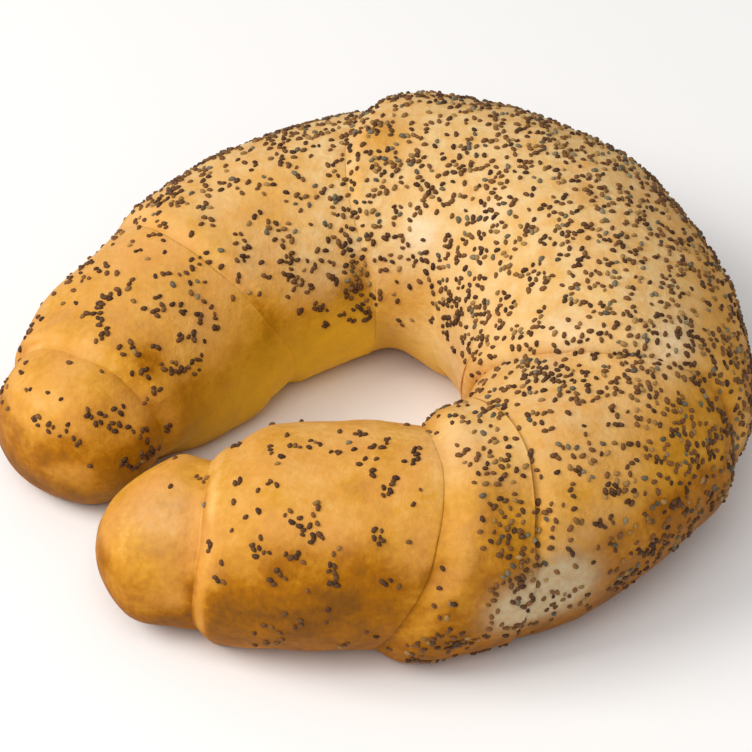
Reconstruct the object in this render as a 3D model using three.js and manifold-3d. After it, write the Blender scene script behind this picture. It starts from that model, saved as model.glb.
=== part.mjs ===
// Seeded crescent roll: yeast dough rolled up from a triangle, bent round into a nearly closed horseshoe,
// baked golden and strewn with poppy seeds. Millimetres, +Z up. The origin is on the table, under the
// middle of the roll, and both arms point along -X. It is one solid: the rolled dough, whose layer edges
// stand out as low steps, with the seeds fused to its crust.

import * as THREE from 'three'
import { mergeGeometries, mergeVertices } from 'three/addons/utils/BufferGeometryUtils.js'
import Module from 'manifold-3d'

// ---- Driving dimensions -------------------------------------------------------------------------------

// The dough's centre line on the table, from the back arm round the bend to the front arm, and the width
// and height of the dough there. The tips go on straight beyond the first and the last station.
const STATIONS = [
  { x: -52.5, y: -8, width: 34, height: 29 },
  { x: -33, y: 19, width: 42, height: 36 },
  { x: -3, y: 36.5, width: 48, height: 41 },
  { x: 29, y: 26.5, width: 52.5, height: 43.5 },
  { x: 41.5, y: -8, width: 51.5, height: 42.5 },
  { x: 26, y: -35, width: 44, height: 38 },
  { x: -4, y: -41.5, width: 41, height: 35 },
  { x: -20, y: -40.5, width: 38.5, height: 33 },
  { x: -32.5, y: -40, width: 30.5, height: 27 }
]
const BACK_TIP = 15.5 // length of the rounded end of the back arm
const FRONT_TIP = 17.5 // length of the rounded end of the front arm
const TIP_FULLNESS = 2.1 // exponent of a tip's outline: 2 is an ellipse, more is blunter
const RISE = 0.8 // the section is an ellipse whose centre lies this share of its half height above the table

// The edges of the dough's layers, each round the roll at a distance along it from the back tip. lean
// carries the outer side on and the inner side back, bow carries both sides on against the crown, and
// twist carries the outer shoulder on and the inner one back. The layer ends in a rounded lip that
// rises over its radius, stands a step proud and faces the tip that it is nearer to, over a gully in the
// layer below it. Where middle and spread are given, the lip shows only about that angle round the roll.
const BACK_FACING = -1
const FRONT_FACING = 1
const LAYER_EDGES = [
  { at: 14.8, lean: -1, bow: 0.5, twist: 0, step: 1, gully: 0.6, radius: 3.2, facing: BACK_FACING },
  { at: 43.3, lean: -3.5, bow: 6, twist: 1.5, step: 0.7, gully: 0.5, radius: 4, facing: BACK_FACING },
  { at: 81, lean: 4.5, bow: 2.5, twist: 1.2, step: 0.9, gully: 0.6, radius: 3.8, facing: BACK_FACING,
    middle: 60, spread: 90 },
  { at: 167.4, lean: -3.2, bow: -1.2, twist: -2.6, step: 1.2, gully: 1, radius: 3.6, facing: FRONT_FACING },
  { at: 190.4, lean: 2, bow: 3, twist: 0, step: 0.6, gully: 0.7, radius: 2.4, facing: FRONT_FACING,
    middle: 47, spread: 26 },
  { at: 204.3, lean: 1.5, bow: 7, twist: -1, step: 1.3, gully: 0.6, radius: 6, facing: FRONT_FACING },
  { at: 245.5, lean: 1.5, bow: 0, twist: 0, step: 1.5, gully: 0.8, radius: 3, facing: FRONT_FACING }
]
const LIP_ROUNDING = 0.8 // exponent of a lip's quarter wave: less is rounder at its foot
const STEP_RUN = 14 // over which a step dies away behind its lip
const GULLY_RUN = 5 // over which a gully dies away in front of a lip

// Soft swellings of the dough: where along it, how far round it from its outer side, their reach both
// ways and how far they stand out.
const SWELLINGS = [
  { at: 5, round: -30, reach: 5, spread: 40, height: 2 },
  { at: 2, round: -35, reach: 4, spread: 30, height: 2 },
  { at: 19, round: 218, reach: 6.5, spread: 32, height: -3.8 },
  { at: 27, round: 20, reach: 9, spread: 40, height: 1.9 },
  { at: 34, round: 70, reach: 10, spread: 35, height: 0.7 },
  { at: 31, round: 222, reach: 5, spread: 30, height: 0.5 },
  { at: 39, round: 48, reach: 5, spread: 25, height: -0.4 },
  { at: 42, round: 222, reach: 9, spread: 30, height: 2.6 },
  { at: 51, round: 50, reach: 6, spread: 25, height: 0.8 },
  { at: 64, round: 60, reach: 9, spread: 30, height: 0.8 },
  { at: 70, round: 222, reach: 12, spread: 30, height: 0.8 },
  { at: 77, round: 38, reach: 10, spread: 35, height: -1.1 },
  { at: 92, round: 222, reach: 7, spread: 30, height: -1.2 },
  { at: 94, round: 45, reach: 6, spread: 30, height: 1.2 },
  { at: 104, round: 55, reach: 12, spread: 35, height: 0.9 },
  { at: 108, round: 222, reach: 8, spread: 30, height: 1 },
  { at: 120, round: 222, reach: 20, spread: 30, height: 1 },
  { at: 122, round: 40, reach: 6, spread: 25, height: 0.9 },
  { at: 132, round: 110, reach: 16, spread: 30, height: 0.6 },
  { at: 140, round: 10, reach: 12, spread: 30, height: 0.9 },
  { at: 150, round: 60, reach: 14, spread: 30, height: -0.9 },
  { at: 167.5, round: -5, reach: 3.2, spread: 22, height: 1.9 },
  { at: 177, round: 20, reach: 9, spread: 28, height: 1.6 },
  { at: 185, round: 75, reach: 6, spread: 26, height: 0.9 },
  { at: 189, round: -30, reach: 14, spread: 25, height: -0.3 },
  { at: 206, round: 150, reach: 7, spread: 30, height: -1.6 },
  { at: 209, round: -45, reach: 8, spread: 25, height: 0.7 },
  { at: 224, round: 140, reach: 16, spread: 40, height: 1.6 },
  { at: 226, round: -45, reach: 9, spread: 30, height: -1 },
  { at: 242, round: 150, reach: 4.5, spread: 40, height: -2.2 },
  { at: 250, round: 140, reach: 5, spread: 40, height: 2 },
  { at: 259, round: -15, reach: 5, spread: 30, height: 1.3 },
  { at: 252, round: -45, reach: 4, spread: 25, height: -0.8 },
  { at: 262, round: 90, reach: 5, spread: 40, height: -1.6 }
]

// Poppy seeds: how thickly they lie at a distance along the roll, as a share of the thickest strewing.
const STREWING = [
  { at: 0, share: 0.08 },
  { at: 16, share: 0.12 },
  { at: 20, share: 0.2 },
  { at: 46, share: 0.25 },
  { at: 54, share: 0.6 },
  { at: 78, share: 0.8 },
  { at: 86, share: 1 },
  { at: 160, share: 1 },
  { at: 172, share: 0.65 },
  { at: 190, share: 0.5 },
  { at: 197, share: 0.8 },
  { at: 201, share: 0.3 },
  { at: 208, share: 0.15 },
  { at: 240, share: 0.15 },
  { at: 248, share: 0.03 }
]
const SEED_SIZE = { length: 1.35, width: 1.15, height: 0.95 }
const SEED_PROUD = 0.6 // height of a seed that stands out of the crust
const SEED_COUNT = 194
const SEED_SPACING = 2.4 // least distance between the middles of two seeds
const SEED_FLOOR = 4 // no seed is lower than this above the table
const INNER_BARE = 0.55 // the inner side is bare below this height on the section, as a sine
const OUTER_BARE = -0.35 // and the outer side below this one
const DRAW_SEED = 20417

// Fineness of the mesh
const CROWN_COLUMNS = 28 // strips round the section, above the table
const BASE_COLUMNS = 4 // strips under it
const ROW_SPACING = 6.4 // between the section rows of a layer
const TIP_ROWS = 5
const LIP_ROWS = [0.16, 0.5, 1] // where the rows of a lip lie, as shares of its radius
const GULLY_ROWS = [2.6] // distances of the extra rows in a gully from the lip over it
const PATH_DIVISIONS = 400

const CRUST_COLOUR = '#d9a055'

// ---- The dough's shape --------------------------------------------------------------------------------

const path = new THREE.SplineCurve(STATIONS.map((station) => new THREE.Vector2(station.x, station.y)))
path.arcLengthDivisions = PATH_DIVISIONS
const girth = new THREE.SplineCurve(STATIONS.map((station) => new THREE.Vector2(station.width, station.height)))
const pathLength = path.getLength()
const rollLength = BACK_TIP + pathLength + FRONT_TIP

// The centre line, its direction and the dough's width and height at a distance from the back tip's end.
function sectionAt (distance) {
  const along = distance - BACK_TIP
  const onPath = THREE.MathUtils.clamp(along, 0, pathLength)
  const t = path.getUtoTmapping(0, onPath)
  const heading = path.getTangent(t)
  const centre = path.getPoint(t).addScaledVector(heading, along - onPath)
  const size = girth.getPoint(t)
  return { centre, heading, width: size.x, height: size.y }
}

// 1 along the roll, falling to 0 at both ends as an ellipse-like outline.
function tipTaper (distance) {
  const intoBack = Math.max(0, 1 - distance / BACK_TIP)
  const intoFront = Math.max(0, 1 - (rollLength - distance) / FRONT_TIP)
  const depth = Math.min(1, Math.max(intoBack, intoFront))
  return (1 - depth ** TIP_FULLNESS) ** (1 / TIP_FULLNESS)
}

// Distance along the roll at which a layer's edge crosses the angle round the section. The angle is 0 at
// the outer side, a right angle on the crown and two right angles at the inner side.
function edgeDistance (edge, angle) {
  const sides = edge.lean * Math.cos(angle) + edge.bow * (1 - Math.sin(angle))
  const shoulders = Math.sin(angle) > 0 ? edge.twist * Math.sin(2 * angle) : 0
  return edge.at + sides + shoulders
}

// How much of a layer's lip shows at an angle round the roll, from 0 to 1.
function lipShown (edge, angle) {
  if (!edge.spread) return 1
  const away = (THREE.MathUtils.radToDeg(angle) - edge.middle) / edge.spread
  return Math.exp(-away * away)
}

// How far the crust stands out at a distance behind a lip that it ends in.
function lipRelief (edge, behind) {
  if (behind >= edge.radius) return edge.step * Math.exp(-(behind - edge.radius) / STEP_RUN)
  const rise = Math.sin(Math.PI / 2 * behind / edge.radius) ** LIP_ROUNDING
  return rise * (edge.step + edge.gully) - edge.gully
}

// And how far it sinks at a distance in front of a lip that lies over it.
function gullyRelief (edge, before) {
  return -edge.gully * Math.exp(-before / GULLY_RUN)
}

// Relief of the layer between two edges, either of which may be missing at the roll's ends.
function layerRelief (start, end, distance, angle) {
  let relief = 0
  if (start) {
    const behind = Math.max(0, distance - edgeDistance(start, angle))
    const own = start.facing === BACK_FACING
    relief += lipShown(start, angle) * (own ? lipRelief(start, behind) : gullyRelief(start, behind))
  }
  if (end) {
    const before = Math.max(0, edgeDistance(end, angle) - distance)
    const own = end.facing === FRONT_FACING
    relief += lipShown(end, angle) * (own ? lipRelief(end, before) : gullyRelief(end, before))
  }
  return relief
}

function swelling (distance, angle) {
  let height = 0
  for (const swell of SWELLINGS) {
    const turn = angle - THREE.MathUtils.degToRad(swell.round)
    const round = Math.atan2(Math.sin(turn), Math.cos(turn)) / THREE.MathUtils.degToRad(swell.spread)
    const along = (distance - swell.at) / swell.reach
    height += swell.height * Math.exp(-along * along - round * round)
  }
  return height
}

// A point of the crust of one layer. The section is cut off flat where it meets the table.
function crustPoint (start, end, distance, angle) {
  const { centre, heading, width, height } = sectionAt(distance)
  const taper = tipTaper(distance)
  const relief = layerRelief(start, end, distance, angle) + swelling(distance, angle)
  const halfHeight = height / (1 + RISE)
  const outwards = (width / 2 + relief) * taper * Math.cos(angle)
  const up = halfHeight * RISE + (halfHeight + relief) * taper * Math.sin(angle)
  return new THREE.Vector3(
    centre.x - heading.y * outwards,
    centre.y + heading.x * outwards,
    Math.max(0, up)
  )
}

// ---- The dough's mesh ---------------------------------------------------------------------------------

// Angles round the section: fine over the crown, coarse under the base.
function columnAngles () {
  const dip = Math.asin(RISE)
  const crown = Array.from({ length: CROWN_COLUMNS }, (_, i) => -dip + (Math.PI + 2 * dip) * i / CROWN_COLUMNS)
  const base = Array.from({ length: BASE_COLUMNS }, (_, i) => Math.PI + dip + (Math.PI - 2 * dip) * i / BASE_COLUMNS)
  return [...crown, ...base]
}

// Where a layer's rows lie, as distances behind its start on the crown: evenly spread, with its lips,
// gullies and rounded tip followed more closely.
function layerRows (start, end, length) {
  const lipRows = (edge) => LIP_ROWS.map((share) => share * edge.radius)
  const startRows = start ? (start.facing === BACK_FACING ? lipRows(start) : GULLY_ROWS) : tipRows(BACK_TIP)
  const nearEnd = end ? (end.facing === FRONT_FACING ? lipRows(end) : GULLY_ROWS) : tipRows(FRONT_TIP)
  const last = length - Math.max(...nearEnd)
  const nearStart = startRows.filter((row) => row < last)
  const first = Math.max(0, ...nearStart)
  const steps = Math.max(1, Math.round((last - first) / ROW_SPACING))
  const middle = Array.from({ length: steps - 1 }, (_, i) => first + (last - first) * (i + 1) / steps)
  const rows = [...nearStart, ...middle, ...nearEnd.map((row) => length - row)]
  return rows.sort((a, b) => a - b)
}

function tipRows (tipLength) {
  const quarter = (i) => 1 - Math.cos(Math.PI / 2 * (i + 1) / TIP_ROWS)
  return Array.from({ length: TIP_ROWS }, (_, i) => tipLength * quarter(i))
}

// All rings of the crust from the back tip to the front one. A layer's rows are stretched round the roll
// to run between its slanted edges, and each edge is a row that the two layers share.
function crustRings (angles) {
  const bounds = [null, ...LAYER_EDGES, null]
  const rings = []
  for (let layer = 0; layer < bounds.length - 1; layer++) {
    const start = bounds[layer]
    const end = bounds[layer + 1]
    const startAt = (angle) => start ? edgeDistance(start, angle) : 0
    const endAt = (angle) => end ? edgeDistance(end, angle) : rollLength
    const length = endAt(Math.PI / 2) - startAt(Math.PI / 2)
    const rows = layerRows(start, end, length)
    if (end) rows.push(length)
    for (const row of rows) {
      const share = row / length
      const distance = (angle) => startAt(angle) + share * (endAt(angle) - startAt(angle))
      rings.push(angles.map((angle) => crustPoint(start, end, distance(angle), angle)))
    }
  }
  return rings
}

// The middle of a tip's rounded end, on which its last ring closes.
function tipPole (distance) {
  const { centre, height } = sectionAt(distance)
  return new THREE.Vector3(centre.x, centre.y, height * RISE / (1 + RISE))
}

function doughGeometry () {
  const rings = crustRings(columnAngles())
  const columns = rings[0].length
  const points = [tipPole(0), ...rings.flat(), tipPole(rollLength)]
  const lastPole = points.length - 1
  const corner = (ring, column) => 1 + ring * columns + column % columns
  const faces = []
  for (let column = 0; column < columns; column++) {
    faces.push(0, corner(0, column + 1), corner(0, column))
    faces.push(lastPole, corner(rings.length - 1, column), corner(rings.length - 1, column + 1))
  }
  for (let ring = 0; ring < rings.length - 1; ring++) {
    for (let column = 0; column < columns; column++) {
      const a = corner(ring, column)
      const b = corner(ring, column + 1)
      const c = corner(ring + 1, column + 1)
      const d = corner(ring + 1, column)
      if (points[a].distanceTo(points[c]) < points[b].distanceTo(points[d])) {
        faces.push(a, b, c, a, c, d)
      } else {
        faces.push(a, b, d, b, c, d)
      }
    }
  }
  const geometry = new THREE.BufferGeometry().setFromPoints(points)
  geometry.setIndex(faces)
  return geometry
}

// ---- The seeds ----------------------------------------------------------------------------------------

// Repeatable random numbers from 0 to 1.
function randomDraw (start) {
  let state = start
  return () => {
    state = (state + 0x6d2b79f5) | 0
    let mixed = Math.imul(state ^ (state >>> 15), 1 | state)
    mixed = (mixed + Math.imul(mixed ^ (mixed >>> 7), 61 | mixed)) ^ mixed
    return ((mixed ^ (mixed >>> 14)) >>> 0) / 4294967296
  }
}

// The share of the thickest strewing that lies at a place on the crust.
function strewn (distance, angle) {
  const next = STREWING.findIndex((mark) => mark.at > distance)
  if (Math.sin(angle) < (Math.cos(angle) > 0 ? OUTER_BARE : INNER_BARE)) return 0
  if (next < 1) return (next < 0 ? STREWING.at(-1) : STREWING[0]).share
  const before = STREWING[next - 1]
  const after = STREWING[next]
  return THREE.MathUtils.mapLinear(distance, before.at, after.at, before.share, after.share)
}

// The layer's two edges at a place on the crust.
function edgesAround (distance, angle) {
  const next = LAYER_EDGES.findIndex((edge) => edgeDistance(edge, angle) > distance)
  const end = next < 0 ? null : LAYER_EDGES[next]
  const start = next < 0 ? LAYER_EDGES.at(-1) : LAYER_EDGES[next - 1] ?? null
  return [start, end]
}

// Crust point and outward normal, from two short steps along and round the crust.
function crustFrame (distance, angle) {
  const [start, end] = edgesAround(distance, angle)
  const step = 0.4
  const turn = 0.02
  const point = crustPoint(start, end, distance, angle)
  const along = crustPoint(start, end, distance + step, angle).sub(point)
  const round = crustPoint(start, end, distance, angle + turn).sub(point)
  const normal = new THREE.Vector3().crossVectors(round, along)
  const area = normal.length() / (step * turn)
  return { point, along: along.normalize(), normal: normal.normalize(), area }
}

// The same frame moved on to the facet of the dough's mesh that lies under it.
const raycaster = new THREE.Raycaster()

function facetFrame (frame, dough) {
  const above = frame.point.clone().addScaledVector(frame.normal, SEED_SIZE.length * 2)
  raycaster.set(above, frame.normal.clone().negate())
  const [hit] = raycaster.intersectObject(dough)
  return { ...frame, point: hit.point }
}

// One seed, long way along the crust turned by an angle, sunk so that SEED_PROUD of it stands out.
function seedGeometry (frame, turn) {
  const geometry = new THREE.IcosahedronGeometry(0.5, 0)
  geometry.scale(SEED_SIZE.length, SEED_SIZE.width, SEED_SIZE.height)
  geometry.rotateZ(turn)
  const across = new THREE.Vector3().crossVectors(frame.normal, frame.along)
  const place = new THREE.Matrix4().makeBasis(frame.along, across, frame.normal)
  place.setPosition(frame.point.clone().addScaledVector(frame.normal, SEED_PROUD - SEED_SIZE.height / 2))
  return geometry.applyMatrix4(place)
}

// Seeds thrown at random over the crust, kept by how thickly it is strewn there and how much crust a
// step covers there, and never touching each other.
function seedGeometries (dough) {
  const draw = randomDraw(DRAW_SEED)
  const widestArea = Math.max(...STATIONS.map((station) => station.width)) * 0.8
  const clear = BACK_TIP / 4
  const kept = []
  const seeds = []
  while (seeds.length < SEED_COUNT) {
    const distance = clear + (rollLength - 2 * clear) * draw()
    const angle = -Math.PI / 2 + 2 * Math.PI * draw()
    const frame = crustFrame(distance, angle)
    const share = strewn(distance, angle) * frame.area / widestArea
    const turn = Math.PI * draw()
    if (draw() > share || frame.point.z < SEED_FLOOR) continue
    if (kept.some((point) => point.distanceTo(frame.point) < SEED_SPACING)) continue
    kept.push(frame.point)
    seeds.push(seedGeometry(facetFrame(frame, dough), turn))
  }
  return seeds
}

// ---- The roll -----------------------------------------------------------------------------------------

const wasm = await Module()
wasm.setup()

function toSolid (geometry) {
  const bare = geometry.clone()
  bare.deleteAttribute('normal')
  bare.deleteAttribute('uv')
  const merged = mergeVertices(bare)
  return new wasm.Manifold(new wasm.Mesh({
    numProp: 3,
    vertProperties: Float32Array.from(merged.attributes.position.array),
    triVerts: Uint32Array.from(merged.index.array)
  }))
}

function toGeometry (solid) {
  const mesh = solid.getMesh()
  const geometry = new THREE.BufferGeometry()
  geometry.setAttribute('position', new THREE.BufferAttribute(mesh.vertProperties, 3))
  geometry.setIndex(new THREE.BufferAttribute(mesh.triVerts, 1))
  geometry.computeVertexNormals()
  return geometry
}

function rollMesh () {
  const crust = new THREE.MeshStandardMaterial({ color: CRUST_COLOUR, roughness: 0.6, metalness: 0 })
  const dough = new THREE.Mesh(doughGeometry(), crust)
  const seeds = mergeGeometries(seedGeometries(dough))
  const roll = new THREE.Mesh(toGeometry(toSolid(dough.geometry).add(toSolid(seeds))), crust)
  roll.name = 'roll'
  return roll
}

const group = new THREE.Group()
group.add(rollMesh())

export default group
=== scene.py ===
"""Seeded crescent roll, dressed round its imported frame.

The roll is yeast dough rolled up from a triangle and bent round into a nearly closed horseshoe. Its crust is
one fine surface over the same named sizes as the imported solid: the rounded lips of the rolled layers, soft
swellings, creases and the flat baked base. Three joined pieces hold the poppy seeds, one for each colour.
Sizes are millimetres until a mesh is made, and every object is in metres in the frame's own axes.
"""

from __future__ import annotations

import logging
import math
from dataclasses import dataclass, field
from enum import Enum

import bpy
import numpy as np
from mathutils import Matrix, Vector
from mathutils.kdtree import KDTree
from numpy.typing import NDArray


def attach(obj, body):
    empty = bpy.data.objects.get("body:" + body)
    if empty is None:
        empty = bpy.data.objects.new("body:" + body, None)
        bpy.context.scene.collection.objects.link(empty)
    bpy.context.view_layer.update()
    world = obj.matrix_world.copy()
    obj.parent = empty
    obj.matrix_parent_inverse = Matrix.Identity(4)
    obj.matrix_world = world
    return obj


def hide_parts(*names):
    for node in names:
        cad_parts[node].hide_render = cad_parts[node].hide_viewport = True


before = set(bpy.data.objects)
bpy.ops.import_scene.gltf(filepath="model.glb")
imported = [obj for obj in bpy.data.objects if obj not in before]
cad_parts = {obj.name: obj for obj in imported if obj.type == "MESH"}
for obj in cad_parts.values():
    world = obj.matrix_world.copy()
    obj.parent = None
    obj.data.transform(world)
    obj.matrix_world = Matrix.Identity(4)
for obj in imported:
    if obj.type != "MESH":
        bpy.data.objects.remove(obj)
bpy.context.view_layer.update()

Array = NDArray[np.float64]
LOG = logging.getLogger("crescent_roll")
MM = 0.001
QUARTER_TURN = math.pi / 2
TINY = 1e-9
SRGB_KNEE = 0.04045
SRGB_SLOPE = 12.92
SRGB_LIFT = 0.055
SRGB_POWER = 2.4


# ---- Small helpers -----------------------------------------------------------------------------------


def linear(colour: str) -> tuple[float, float, float, float]:
    """Turns an sRGB hex colour into Blender's linear one: c / 12.92 below the knee, a power above it.

    Args:
        colour: the colour as "#rrggbb".

    Returns:
        Linear red, green, blue and an alpha of 1.
    """
    shares = [int(colour[i : i + 2], 16) / 255 for i in (1, 3, 5)]
    red, green, blue = (
        share / SRGB_SLOPE if share <= SRGB_KNEE else ((share + SRGB_LIFT) / (1 + SRGB_LIFT)) ** SRGB_POWER
        for share in shares
    )
    return red, green, blue, 1.0


def bare_material(name: str) -> bpy.types.Material:
    """Makes a material with an empty node tree."""
    material = bpy.data.materials.new(name)
    material.use_nodes = True
    material.node_tree.nodes.clear()
    return material


def add_node(
    tree: bpy.types.NodeTree, kind: str, settings: dict, links: dict | None = None
) -> bpy.types.Node:
    """Adds a node to a material with its settings and links.

    Args:
        tree: the node tree that it joins.
        kind: the node's type name.
        settings: input sockets (by name or number) and node properties to set. The key "stops" fills a
            colour ramp with pairs of place and colour.
        links: input sockets (by name or number) and the output sockets that feed them.

    Returns:
        The new node.
    """
    node = tree.nodes.new(kind)
    for key, value in settings.items():
        if key == "stops":
            elements = node.color_ramp.elements
            while len(elements) < len(value):
                elements.new(1.0)
            for element, (place, colour) in zip(elements, value):
                element.position = place
                element.color = colour
        elif isinstance(key, int) or key in node.inputs:
            node.inputs[key].default_value = value
        else:
            setattr(node, key, value)
    for key, output in (links or {}).items():
        tree.links.new(output, node.inputs[key])
    return node


def make_piece(name: str, points: Array, faces: list[Array], marks: dict[str, Array]) -> bpy.types.Object:
    """Makes a smooth mesh object at the origin from whole arrays.

    Args:
        name: the piece's name.
        points: vertex places in millimetres, one row each.
        faces: arrays of faces, each with its own number of corners.
        marks: named values for each vertex, for the materials to read.

    Returns:
        The new object, linked to the scene.
    """
    mesh = bpy.data.meshes.new(name)
    corners = np.concatenate([group.reshape(-1) for group in faces]).astype(np.int32)
    sizes = np.concatenate([np.full(len(group), group.shape[1]) for group in faces])
    starts = np.concatenate([[0], np.cumsum(sizes)[:-1]]).astype(np.int32)
    mesh.vertices.add(len(points))
    mesh.vertices.foreach_set("co", (points * MM).astype(np.float32).reshape(-1))
    mesh.loops.add(len(corners))
    mesh.loops.foreach_set("vertex_index", corners)
    mesh.polygons.add(len(sizes))
    mesh.polygons.foreach_set("loop_start", starts)
    mesh.update(calc_edges=True)
    mesh.polygons.foreach_set("use_smooth", np.ones(len(sizes), bool))
    for label, values in marks.items():
        attribute = mesh.attributes.new(label, "FLOAT", "POINT")
        attribute.data.foreach_set("value", values.astype(np.float32).reshape(-1))
    mesh.validate()
    piece = bpy.data.objects.new(name, mesh)
    bpy.context.scene.collection.objects.link(piece)
    return piece


def smooth_step(values: Array, low: float, high: float) -> Array:
    """Rises from 0 at low to 1 at high along the cubic 3t² - 2t³."""
    share = np.clip((values - low) / (high - low), 0, 1)
    return share * share * (3 - 2 * share)


@dataclass
class DoughNoise:
    """Soft random unevenness in space, of a cell in millimetres, the same on each run."""

    cell: float
    seed: int
    period: int = 32
    lattice: Array = field(init=False)

    def __post_init__(self) -> None:
        """Draws the lattice of values from the seed."""
        draw = np.random.default_rng(self.seed)
        self.lattice = draw.uniform(-1, 1, (self.period,) * 3)

    def at(self, points: Array) -> Array:
        """Value noise: lattice values blended over each cell by the cubic 3t² - 2t³.

        Args:
            points: places in millimetres, with x, y and z last.

        Returns:
            A value between -1 and 1 for each place.
        """
        scaled = points / self.cell
        corner = np.floor(scaled).astype(int)
        part = scaled - corner
        blend = part * part * (3 - 2 * part)
        total = np.zeros(points.shape[:-1])
        for step in np.ndindex(2, 2, 2):
            weight = np.prod(np.where(np.array(step), blend, 1 - blend), axis=-1)
            i, j, k = np.moveaxis((corner + step) % self.period, -1, 0)
            total += weight * self.lattice[i, j, k]
        return total


# ---- The dough's form --------------------------------------------------------------------------------


class Facing(Enum):
    """The tip of the roll that a layer's lip looks towards."""

    BACK = -1
    FRONT = 1


@dataclass(frozen=True)
class Station:
    """A place on the dough's centre line, and the dough's width and height there."""

    x: float
    y: float
    width: float
    height: float


@dataclass(frozen=True)
class LayerEdge:
    """The edge of a rolled layer, round the roll at a distance along it.

    The lip rises over its radius, from a sharp crease where it is crisp. It is paler than the crust about
    it, and the crust behind it is browner. Where a spread is given, the lip shows only about the middle
    angle, in degrees.
    """

    at: float
    lean: float
    bow: float
    twist: float
    step: float
    gully: float
    facing: Facing
    radius: float = 3.0
    crisp: float = 0.5
    pale: float = 0.3
    brown: float = 0.1
    middle: float = 0.0
    spread: float = 0.0
    slow_wave: float = 0.16
    quick_wave: float = 0.12

    def shown(self, angle: Array) -> Array:
        """How much of the lip shows at an angle: exp(-u²) of the spread, with two waves of unevenness."""
        uneven = 1 + self.slow_wave * np.sin(2 * angle + self.at)
        uneven += self.quick_wave * np.sin(5 * angle + 3 * self.at)
        if not self.spread:
            return uneven
        return uneven * np.exp(-(((np.degrees(angle) - self.middle) / self.spread) ** 2))


@dataclass(frozen=True)
class Patch:
    """A soft round area of the crust: a distance along it, an angle round it, reaches and an amount."""

    at: float
    round: float
    reach: float
    spread: float
    amount: float

    def over(self, distance: Array, angle: Array) -> Array:
        """The amount times a bell curve of the two reaches, exp(-u² - v²).

        Args:
            distance: distances along the roll in millimetres.
            angle: angles round the section in radians.

        Returns:
            The patch's amount at each place.
        """
        turn = angle - math.radians(self.round)
        turn = np.arctan2(np.sin(turn), np.cos(turn)) / math.radians(self.spread)
        along = (distance - self.at) / self.reach
        return self.amount * np.exp(-along * along - turn * turn)


def sum_patches(patches: tuple[Patch, ...], distance: Array, angle: Array) -> Array:
    """Adds up several patches at each place."""
    return sum((patch.over(distance, angle) for patch in patches), np.zeros(distance.shape))


@dataclass
class CentreLine:
    """The dough's line on the table with its girth, walked by distance from the back tip's end."""

    stations: tuple[Station, ...] = (
        Station(-52.5, -8, 34, 29),
        Station(-33, 19, 42, 36),
        Station(-3, 36.5, 48, 41),
        Station(29, 26.5, 52.5, 43.5),
        Station(41.5, -8, 51.5, 42.5),
        Station(26, -35, 44, 38),
        Station(-4, -41.5, 41, 35),
        Station(-20, -40.5, 38.5, 33),
        Station(-32.5, -40, 30.5, 27),
    )
    back_tip: float = 15.5
    front_tip: float = 17.5
    tip_fullness: float = 2.1
    divisions: int = 400
    places: Array = field(init=False)
    walked: Array = field(init=False)

    def __post_init__(self) -> None:
        """Tabulates the distance walked along the spline."""
        self.places = np.linspace(0, 1, self.divisions + 1)
        steps = np.diff(self.spline(self.places)[:, :2], axis=0)
        self.walked = np.concatenate([[0], np.cumsum(np.hypot(steps[:, 0], steps[:, 1]))])

    @property
    def length(self) -> float:
        """The roll's whole length along its centre line."""
        return self.back_tip + self.walked[-1] + self.front_tip

    def spline(self, share: Array) -> Array:
        """Catmull-Rom spline through the stations, with the end stations doubled.

        Between two stations p1 and p2, with t from 0 to 1, it is the cubic
        (2p1 - 2p2 + v1 + v2)t³ + (3p2 - 3p1 - 2v1 - v2)t² + v1 t + p1, where v is half the way between
        the neighbours of each station.

        Args:
            share: places from 0 at the first station to 1 at the last.

        Returns:
            x, y, width and height at each place.
        """
        table = np.array([(s.x, s.y, s.width, s.height) for s in self.stations])
        last = len(table) - 1
        scaled = np.clip(share, 0, 1) * last
        index = np.minimum(np.floor(scaled).astype(int), last - 1)
        t = (scaled - index)[..., None]
        before, here = table[np.maximum(index - 1, 0)], table[index]
        there, after = table[index + 1], table[np.minimum(index + 2, last)]
        leave, arrive = (there - before) / 2, (after - here) / 2
        cubic = (2 * here - 2 * there + leave + arrive) * t**3
        return cubic + (3 * there - 3 * here - 2 * leave - arrive) * t**2 + leave * t + here

    def section(self, distance: Array) -> tuple[Array, Array, Array, Array]:
        """The centre, heading, width and height of the dough.

        Args:
            distance: distances along the roll from the back tip's end.

        Returns:
            Centres (x, y), headings (unit x, y), widths and heights. Beyond the stations the line goes
            straight on.
        """
        along = distance - self.back_tip
        on_path = np.clip(along, 0, self.walked[-1])
        share = np.interp(on_path, self.walked, self.places)
        nudge = 1e-4
        ahead, behind = np.minimum(share + nudge, 1), np.maximum(share - nudge, 0)
        heading = self.spline(ahead)[..., :2] - self.spline(behind)[..., :2]
        heading /= np.linalg.norm(heading, axis=-1, keepdims=True)
        here = self.spline(share)
        centre = here[..., :2] + heading * (along - on_path)[..., None]
        return centre, heading, here[..., 2], here[..., 3]

    def taper(self, distance: Array) -> Array:
        """1 along the roll, falling to 0 at both ends as (1 - dᵖ)^(1/p) of the depth d into the tip.

        Args:
            distance: distances along the roll from the back tip's end.

        Returns:
            The share of the full girth at each distance.
        """
        depth = np.maximum(1 - distance / self.back_tip, 1 - (self.length - distance) / self.front_tip)
        depth = np.clip(depth, 0, 1)
        return (1 - depth**self.tip_fullness) ** (1 / self.tip_fullness)


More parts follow.
